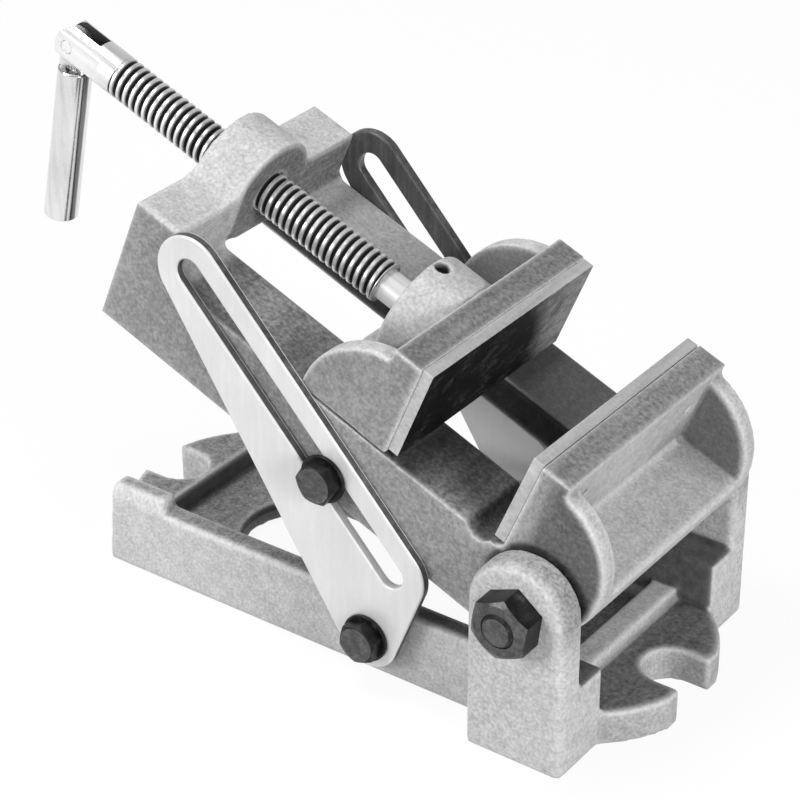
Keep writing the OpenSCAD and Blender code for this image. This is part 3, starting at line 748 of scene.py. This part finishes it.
def vise_zones(p, n):
    """Milled rails and jaw top, a nose darkened as painted shade, plain outer sides, and painted
    shade in the slideway, the groove, the cheeks, round the ear and under the movable jaw.
    """
    x, y, z = p.T
    out = outer_side(p, n)
    rear = facing(-n[:, 0], 0.9, 15.0)
    rail = level(n) * box(p, x=under(-20), z=(RAIL - 0.5, RAIL + 0.5))
    # The far rail takes less of the dark milled tone, as painted light
    rail = rail * fade(x, -166, -161, least=0.15) * np.where(y > 0, 0.42, 0.92)
    # Painted shadow on the rail tops under the movable jaw
    jaw_shadow = fade(x, -50, -65, most=0.75) * fade(x, -104, -92) * (rail > 0)
    # The sides next to the ear are darkened as painted shade
    nose = fade(x, -14, -6, most=0.7) * out
    # Painted shade in the slideway, in the groove, on the gussets' inner cheeks, on the boss's
    # front and in a ring round the ear
    slide = box(p, x=under(-20), across=under(19), z=under(RAIL - 1))
    groove = box(p, x=(-33, -21), z=under(RAIL + 2)) & (np.abs(n[:, 1]) < 0.7)
    bridge = facing(n[:, 0], 0.55, 4.0, 0.9) * box(p, x=under(BRIDGE + 5)) * (y > -17)
    collar = bridge * (y < 17) * (z > 12)
    cheek = facing(np.abs(n[:, 1]), 0.6, 4.0)
    cheek = cheek * box(p, x=over(-7), across=under(44), z=over(DECK))
    ring = fade(np.hypot(x, z), EAR + 2.2, EAR + 1.0, most=0.95) * out
    painted_shade = slide * 0.97 + groove * 0.35 + cheek * 0.7 + nose * 0.7 + collar * 0.2 + ring + jaw_shadow
    # Lighter rims, worn edges with a painted highlight: full at the front, none along the rails,
    # strong along the bridge's top edge
    front = box(p, x=over(-18), across=over(30)) | box(p, x=over(8))
    rim = np.where(front & box(p, z=under(JAW - 4)), 1.0, 0.25)
    rim = np.where(box(p, x=under(-20), z=(RAIL - 2, RAIL + 2)), 0.0, rim)
    rim = np.where(box(p, x=(BRIDGE - 3, BRIDGE + 3), z=over(22)), 0.8, rim)
    # The hollow where the jaw meets the deck takes a painted highlight
    foot = box(p, x=(-16, 6), across=under(38), z=(DECK - 4, DECK + 4))
    return {"milled": np.clip(np.maximum(rail, nose) + slide + groove + bridge, 0.0, 1.0),
            "bare": milled_top(p, n),
            "side": np.clip(out + rear, 0.0, 1.0),
            "shade": np.clip(painted_shade, 0.0, 0.97),
            "rim_share": rim,
            "lit": foot * 0.7}


def jaw_soft(p):
    """The gussets and the screw boss behind the jaw are the roundest."""
    gusset = box(p, x=under(-82), across=over(38))
    return np.where(gusset, 0.35, np.where(box(p, **JAW_BOSS), 0.25, 0.0))


def jaw_zones(p, n):
    """A milled top, plain sides and boss, and painted shade on the gussets' inner faces beside the
    boss.
    """
    inward = -n[:, 1] * np.sign(p[:, 1])
    cheek = facing(inward, 0.6, 4.0, 0.62) * box(p, x=under(-75), across=over(28))
    return {"bare": milled_top(p, n),
            "side": np.maximum(outer_side(p, n), box(p, **JAW_BOSS) * 0.35),
            "shade": cheek,
            "rim_share": 0.25}


casting("base_casting", "base", "base_iron", base_cast, WORLD,
        voxel=0.98 * MM, passes=2, soft=base_soft, zones=base_zones)
casting("vise_casting", "vise", "vise_iron", vise_cast, VISE,
        voxel=1.00 * MM, passes=1, soft=vise_soft, zones=vise_zones)
casting("movable_jaw_casting", "jaw", "jaw_iron", jaw_cast, VISE,
        voxel=0.65 * MM, passes=2, soft=jaw_soft, zones=jaw_zones)


# Plates, links and pins

# Edges of a plate are eased only where they turn by this many degrees
PLATE_LEAST = 80.0
# The handle's inner side faces this way, and its painted dark reflection ends at this cosine from
# it
INWARD = (0.986, -0.166, 0.0)
INNER_EDGE = 0.906


def ease(bm, radius, least, rim=-1):
    """Rounds the outward edges that are sharper than least, away from inward corners."""
    sharp = [e for e in bm.edges
             if len(e.link_faces) == 2 and e.calc_face_angle(0.0) > math.radians(least)]
    corners = {vertex for e in sharp if not e.is_convex for vertex in e.verts}
    outward = [e for e in sharp if e.is_convex and not corners.intersection(e.verts)]
    bmesh.ops.bevel(bm, geom=outward, offset=radius, offset_type="OFFSET", segments=3,
                    profile=0.5, affect="EDGES", clamp_overlap=False, loop_slide=True,
                    material=rim)


def eased(node, body, slot, home, radius, materials, paint=None, least=30.0, rim=-1):
    """A copy of a CAD node with its sharp edges eased and its faces painted."""
    bm = merged(node, home)
    flatten(bm)
    if paint:
        for face in bm.faces:
            face.material_index = paint(face, bm)
    ease(bm, radius, least, rim)
    bmesh.ops.transform(bm, matrix=home, verts=bm.verts)
    mesh = to_mesh(bm, node)
    for material in materials:
        mesh.materials.append(material)
    return place(node + "_eased", even(mesh), (), body, slot, node)


def grip_paint(back):
    """The grip face and the screw holes are dark; the plate's edges and back are light."""
    def paint(face, _):
        centre = face.calc_center_bounds()
        inside = abs(centre.y) < 45 * MM and RAIL_TOP + 4 * MM < centre.z < JAW_TOP - 2 * MM
        return 1 if inside and abs(centre.x - back) > FACE_DEPTH else 0
    return paint


def link_paint(face, bm):
    """A link's broad faces are pale, its sawn outline is dark as painted shade, its slot has its
    own finish.

    Hardly any of the link lies beyond a face of the outline, and much of it beyond one of
    the slot."""
    outline, broad, slot = 0, 1, 2
    if abs(face.normal.y) > 0.9:
        return broad
    middle = face.calc_center_bounds()
    beyond = sum((v.co - middle).dot(face.normal) > 2.0 * MM for v in bm.verts)
    return outline if beyond < 0.1 * len(bm.verts) else slot


for which, body, back in (("fixed", "vise", FIXED_PLATE_BACK),
                          ("movable", "jaw", MOVABLE_PLATE_BACK)):
    eased(which + "_jaw_plate", body, "jaw_plate_steel", VISE, 0.35 * MM,
          [plate_edge, grip_face], grip_paint(back), PLATE_LEAST)
eased("keeper_plate", "jaw", "jaw_plate_steel", VISE, 0.5 * MM, [keeper_face])
for link, steel in (("near_link", link_steel), ("far_link", far_link_steel)):
    eased(link, link, "link_steel", WORLD, 0.8 * MM, [link_edge, steel, slot_edge],
          link_paint, rim=1)
for washer, body in (("link_pivot_washers", "base"), ("near_slot_washer", "near_slot"),
                     ("far_slot_washer", "far_slot")):
    eased(washer, body, "black_steel", WORLD, 0.25 * MM, [black_steel])
eased("handle_pin", "screw", "black_steel", VISE, 0.4 * MM, [screw_steel])
handle = eased("handle", "handle", "bright_steel", VISE, 0.7 * MM, [handle_steel])
for screws, body, radius in (("retaining_screw", "jaw", 0.4 * MM),
                             ("keeper_screws", "jaw", 0.5 * MM),
                             ("fixed_jaw_screws", "vise", 0.1 * MM),
                             ("movable_jaw_screws", "jaw", 0.1 * MM)):
    eased(screws, body, "black_steel", VISE, radius, [black_steel])

# The handle's finish is told which side of it faces the vise, for its painted dark reflection.
handle_normals = read(handle.data.vertex_normals, "vector", 3)
write(handle.data, "inner", fade(handle_normals @ INWARD, INNER_EDGE, 1.0))


# Pieces made by a rule

THREAD_AROUND = 61
THREAD_STEPS = 14
# Of half a pitch, where the flank of the thread starts to rise and where the crest starts
FLANK = (0.34, 0.60)
HEX_AROUND = 73
HEX_ROWS = 10
# The chamfer of a head: its circle as a share of the flats, and its slope
CHAMFER_SHARE = 0.93
CHAMFER_SLOPE = math.tan(math.radians(30.0))
# Degrees from the middle of a hexagon's flat to its corner
FLAT_TO_CORNER = 30.0
# Only the end rows of a grid lie closer to its ends than this
GRID_END = 1e-6


class Rule(Tree):
    """A geometry node tree with named inputs that bends a grid into a piece."""

    def __init__(self, name, **inputs):
        group = bpy.data.node_groups.new(name, "GeometryNodeTree")
        super().__init__(group)
        self.keys = {}
        for key, value in inputs.items():
            kind = "NodeSocketInt" if isinstance(value, int) else "NodeSocketFloat"
            self.add_input(key, kind).default_value = value
        self.add_input("Material", "NodeSocketMaterial")
        group.interface.new_socket("Geometry", in_out="OUTPUT", socket_type="NodeSocketGeometry")
        self.source = group.nodes.new("NodeGroupInput")

    def add_input(self, key, kind):
        socket = self.tree.interface.new_socket(key.replace("_", " "), in_out="INPUT",
                                                socket_type=kind)
        self.keys[key] = socket.identifier
        return socket

    def given(self, key):
        return Field(self, self.source.outputs[key.replace("_", " ")])

    def grid(self, columns, rows):
        """The grid with its columns and rows counted from 0 to 1."""
        sheet = self.node("GeometryNodeMeshGrid", None, Size_X=1.0, Size_Y=1.0,
                          Vertices_X=columns, Vertices_Y=rows, output="Mesh")
        x, y, _ = self.parts(self.node("GeometryNodeInputPosition"))
        return sheet, x + 0.5, y + 0.5

    def finish(self, sheet, x, y, z):
        """Moves the grid into place, joins its edges and gives it its material."""
        spot = self.node("ShaderNodeCombineXYZ", None, x, y, z)
        bent = self.node("GeometryNodeSetPosition", None, Geometry=sheet, Position=spot)
        whole = self.node("GeometryNodeMergeByDistance", None, Geometry=bent,
                          Distance=2 * SAME_SPOT)
        real = self.node("GeometryNodeRealizeInstances", None, Geometry=whole)
        coated = self.node("GeometryNodeSetMaterial", None, Geometry=real,
                           Material=self.given("Material"))
        output = self.tree.nodes.new("NodeGroupOutput")
        self.feed(output.inputs[0], coated)

    def make(self, name, material, **values):
        holder = add_object(name, bpy.data.meshes.new(name))
        rule = holder.modifiers.new("rule", "NODES")
        rule.node_group = self.tree
        rule[self.keys["Material"]] = material
        for key, value in values.items():
            rule[self.keys[key]] = value
        return evaluated(holder)


def thread_rule():
    """Screw thread along X: a grid rolled round the axis, each of its rows along the helix."""
    r = Rule("thread", Start=0.0, Length=100 * MM, Lead=3 * MM, Crest_Radius=8 * MM,
             Root_Radius=6 * MM, Around=THREAD_AROUND, Rows=400)
    sheet, along, round_ = r.grid(r.given("Rows"), r.given("Around"))
    row = along * (r.given("Rows") - 1.0)
    turn = round_ * (2.0 * math.pi)
    leads = row / float(THREAD_STEPS)
    flank = abs(leads % 1.0 * 2.0 - 1.0).ramp(*FLANK)
    depth = r.given("Crest_Radius") - r.given("Root_Radius")
    ends = along.above(GRID_END) * along.below(1.0 - GRID_END)
    radius = (r.given("Root_Radius") + depth * flank) * ends
    reach = (leads + round_ - 1.0) * r.given("Lead")
    x = r.given("Start") + reach.between(0.0, r.given("Length"))
    r.finish(sheet, x, radius * turn.cosine(), radius * turn.sine())
    return r


def hex_rule():
    """Hex head with a shank along Z, or a nut: rows of a profile turned round the axis."""
    r = Rule("hex_fastener", Across_Flats=14 * MM, Height=5 * MM, Hole_Radius=0.0,
             Shank_Radius=5 * MM, Shank_Length=20 * MM, End_Chamfer=0.8 * MM,
             Around=HEX_AROUND)
    sheet, round_, down = r.grid(r.given("Around"), HEX_ROWS)
    turn = round_ * (2.0 * math.pi)
    row = down * (HEX_ROWS - 1.0)
    half = r.given("Across_Flats") * 0.5
    sixth = (turn + math.pi / 6.0) % (math.pi / 3.0) - math.pi / 6.0
    edge = half / sixth.cosine()
    chamfer = half * CHAMFER_SHARE
    high = r.given("Height")
    hole, shank = r.given("Hole_Radius"), r.given("Shank_Radius")
    long = r.given("Shank_Length")
    cut = r.given("End_Chamfer")
    drop = high - (edge - chamfer) * CHAMFER_SLOPE
    profile = [(hole, high), (chamfer, high), (edge, drop), (edge, 0.0), (shank, 0.0),
               (shank, cut - long), (shank - cut, -long), (hole, -long), (hole, 0.0), (hole, high)]
    radius, z = 0.0, 0.0
    for index, (out, up) in enumerate(profile):
        here = (1.0 - abs(row - float(index))).above(0.5)
        radius = here * out + radius
        z = here * up + z
    r.finish(sheet, radius * turn.cosine(), radius * turn.sine(), z)
    return r


thread = thread_rule()
hexagon = hex_rule()


def join(parts, name, sharp=30.0, ends=None, lean=0.95):
    """One mesh from several, each moved by its own matrix.

    Faces that lie farther out than ends, and lean outward by more than lean, take the
    second finish."""
    bm = bmesh.new()
    for mesh, matrix in parts:
        part = mesh.copy()
        part.transform(matrix)
        bm.from_mesh(part)
    bmesh.ops.dissolve_degenerate(bm, edges=bm.edges, dist=HAIRLINE)
    bm.normal_update()
    for face in bm.faces:
        outward = abs(face.normal.y) > lean and ends is not None
        face.material_index = int(outward and abs(face.calc_center_median().y) > ends)
    return to_mesh(bm, name, sharp)


def bolt_matrix(x, z, y_head, side, turn):
    """Where a bolt stands: its head outward on the near (-1) or far (1) side."""
    return Matrix.Translation((x, side * y_head, z)) \
        @ Matrix.Rotation(-side * math.pi / 2.0, 4, "X") \
        @ Matrix.Rotation(math.radians(turn - FLAT_TO_CORNER), 4, "Z")


def link_bolt(name, end):
    return hexagon.make(name, black_steel, Across_Flats=BOLT_AF, Height=BOLT_HEAD_T,
                        Shank_Radius=BOLT_R - PLAY, Shank_Length=HEAD_IN - end,
                        End_Chamfer=0.5 * MM)


def place_fastener(node, body, parts, name, ends, lean=0.95):
    """Puts bolts or nuts on a body, black with rubbed end faces."""
    place(node + "_turned", join(parts, name, ends=ends, lean=lean),
          [black_steel, rubbed_steel], body, "black_steel", node)


# Where the outer face of a small bolt counts as rubbed, the radius of the ring under the
# nut, and how far the tilt bolt stands out of the nut
HEAD_FACE = HEAD_IN + BOLT_HEAD_T - FACE_DEPTH
NUT_FOOT_R = 0.48 * PIVOT_AF
BOLT_PAST_NUT = 1.0 * MM


def base_fasteners():
    pivot = link_bolt("pivot_bolt", PIVOT_BOLT_END)
    place_fastener("link_pivot_bolts", "base",
                   [(pivot, bolt_matrix(*LINK_PIVOT, HEAD_IN, side, BOLT_TURN))
                    for side in (-1, 1)], "link_pivot_bolts", HEAD_FACE)
    nut = hexagon.make("nut", black_steel, Across_Flats=PIVOT_AF, Height=NUT_T,
                       Hole_Radius=PIVOT_R + PLAY, Shank_Radius=NUT_FOOT_R,
                       Shank_Length=0.0, End_Chamfer=0.0)
    place_fastener("pivot_nut", "base",
                   [(nut, bolt_matrix(0, PIVOT_H, EAR_OUT, -1, NUT_TURN))], "nut",
                   EAR_OUT + 1.0 * MM, lean=0.8)
    bolt = hexagon.make("tilt_bolt", black_steel, Across_Flats=PIVOT_AF, Height=NUT_T,
                        Shank_Radius=PIVOT_R - PLAY,
                        Shank_Length=2 * EAR_OUT + NUT_T + BOLT_PAST_NUT, End_Chamfer=1.2 * MM)
    place_fastener("pivot_bolt", "base",
                   [(bolt, bolt_matrix(0, PIVOT_H, EAR_OUT, 1, 0.0))], "bolt",
                   EAR_OUT + NUT_T - FACE_DEPTH)


def slot_bolts():
    at = VISE @ Vector((SLOT_BOLT[0], 0, SLOT_BOLT[1]))
    turn = BOLT_TURN - math.degrees(REST_TILT)
    for side, word in ((-1, "near"), (1, "far")):
        bolt = link_bolt("slot_bolt", SLOT_BOLT_END)
        place_fastener(word + "_slot_bolt", word + "_slot",
                       [(bolt, bolt_matrix(at.x, at.z, HEAD_IN, side, turn))], "slot_bolt",
                       HEAD_FACE)


def cut_end(keep_front):
    """The plain end of the lead screw in front of or behind its thread, with a short overlap."""
    bm = merged("lead_screw", VISE)
    station = THREAD_FRONT if keep_front else THREAD_REAR
    way = 1.0 if keep_front else -1.0
    overlap = 0.3 * MM
    bmesh.ops.bisect_plane(bm, geom=bm.verts[:] + bm.edges[:] + bm.faces[:], dist=HAIRLINE,
                           plane_co=(station - way * overlap, 0, 0), plane_no=(way, 0, 0),
                           clear_inner=True)
    bmesh.ops.holes_fill(bm, edges=[e for e in bm.edges if e.is_boundary])
    flatten(bm)
    ease(bm, 0.3 * MM, 35.0)
    mesh = to_mesh(bm, "screw_end")
    mesh.materials.append(screw_steel)
    return mesh


def lead_screw():
    length = THREAD_FRONT - THREAD_REAR
    rolled = thread.make("rolled_thread", screw_steel, Start=THREAD_REAR, Length=length,
                         Lead=SCREW_LEAD, Crest_Radius=SCREW_R, Root_Radius=SCREW_ROOT_R,
                         Around=THREAD_AROUND,
                         Rows=1 + THREAD_STEPS * math.ceil(length / SCREW_LEAD + 1.0))
    whole = join([(rolled, VISE @ Matrix.Translation((0, 0, SCREW_UP))),
                  (cut_end(True), VISE), (cut_end(False), VISE)], "lead_screw", 40.0)
    whole.materials.append(screw_steel)
    place("lead_screw_threaded", even(whole), (), "screw", "bright_steel", "lead_screw")


base_fasteners()
slot_bolts()
lead_screw()


# Stage, light and camera

# The photograph's camera, as solved from it
AZIMUTH, ELEVATION, ROLL = (math.radians(angle) for angle in (35.82, 30.21, -0.23))
CAMERA_AIM = Vector((-90.01, -0.35, 81.2)) * MM
CAMERA_DISTANCE = 928.07 * MM
FOCAL_PIXELS = 2609.09
PHOTO_PIXELS = 800.0
SENSOR = 36.0

# The floor: pale to the eye, darker as a source of light, and mostly glowing when seen
FLOOR_SIZE = 8.0
FLOOR_AT = (-0.1, 0, 0)
FLOOR_PALE = plain(0.92)
FLOOR_DARK = plain(0.42)
FLOOR_GLOW = 0.92

# Where the lights aim
MIDDLE = (-0.09, 0, 0.07)
FRONT_MIDDLE = (-0.05, 0, 0.07)


def floor_stage():
    bpy.ops.mesh.primitive_plane_add(size=FLOOR_SIZE, location=FLOOR_AT)
    floor = bpy.context.object
    floor.name = "floor"
    f = Finish("floor_white", rough=0.9, specular=0.0)
    rays = ("Is Camera Ray", "Is Glossy Ray", "Is Transmission Ray")
    seen = sum(f.node("ShaderNodeLightPath", output=ray) for ray in rays).between(0.0, 1.0)
    f.set("Base Color", f.blend(seen, FLOOR_DARK, FLOOR_PALE))
    glow = f.node("ShaderNodeEmission", None, Color=WHITE, Strength=1.0)
    mixed = f.node("ShaderNodeMixShader", None, seen * FLOOR_GLOW,
                   Field(f, f.shader.outputs[0]), glow)
    f.feed(f.tree.nodes["Material Output"].inputs["Surface"], mixed)
    floor.data.materials.append(f.material)


def studio_world():
    """White to the camera; for light and reflections bright low down and dim overhead.

    It is dark towards the far side in front, where a dark screen would stand."""
    world = bpy.data.worlds.new("studio")
    bpy.context.scene.world = world
    world.use_nodes = True
    w = Tree(world.node_tree)
    back = world.node_tree.nodes["Background"]
    ray = w.node("ShaderNodeLightPath", output="Is Camera Ray")
    x, y, z = w.parts(w.node("ShaderNodeTexCoord", output="Generated"))
    dark_side = (x * 0.80 + y * 0.60).ramp(0.35, 0.80)
    soft = (0.66 - z.ramp(0.15, 0.95) * 0.40) * (1.0 - dark_side * 0.92)
    back.inputs["Color"].default_value = WHITE
    w.feed(back.inputs["Strength"], soft * (1.0 - ray) + ray)


def area_light(name, spot, aim, size, watts):
    lamp = bpy.data.lights.new(name, "AREA")
    lamp.shape = "DISK"
    lamp.size = size
    lamp.energy = watts
    holder = bpy.data.objects.new(name, lamp)
    holder.location = spot
    holder.rotation_euler = (Vector(aim) - Vector(spot)).to_track_quat("-Z", "Y").to_euler()
    bpy.context.scene.collection.objects.link(holder)


def photo_camera():
    back = Vector((math.sin(AZIMUTH) * math.cos(ELEVATION),
                   -math.cos(AZIMUTH) * math.cos(ELEVATION), math.sin(ELEVATION)))
    right = Vector((math.cos(AZIMUTH), math.sin(AZIMUTH), 0))
    up = back.cross(right)
    right, up = (math.cos(ROLL) * right + math.sin(ROLL) * up,
                 -math.sin(ROLL) * right + math.cos(ROLL) * up)
    eye = CAMERA_AIM + back * CAMERA_DISTANCE
    data = bpy.data.cameras.new("camera")
    data.sensor_width = SENSOR
    data.lens = SENSOR * FOCAL_PIXELS / PHOTO_PIXELS
    data.clip_start = 0.05
    data.clip_end = 50.0
    camera = bpy.data.objects.new("camera", data)
    camera.matrix_world = Matrix((
        (right.x, up.x, back.x, eye.x),
        (right.y, up.y, back.y, eye.y),
        (right.z, up.z, back.z, eye.z),
        (0, 0, 0, 1)))
    bpy.context.scene.collection.objects.link(camera)
    bpy.context.scene.camera = camera


floor_stage()
studio_world()
area_light("key", (-0.75, -1.35, 0.75), MIDDLE, size=0.7, watts=10.5)
area_light("front", (1.35, -0.45, 0.65), FRONT_MIDDLE, size=0.6, watts=16.0)
area_light("top", (-0.6, -0.2, 1.6), MIDDLE, size=0.6, watts=13.0)
photo_camera()
bpy.context.scene.view_settings.view_transform = "Standard"
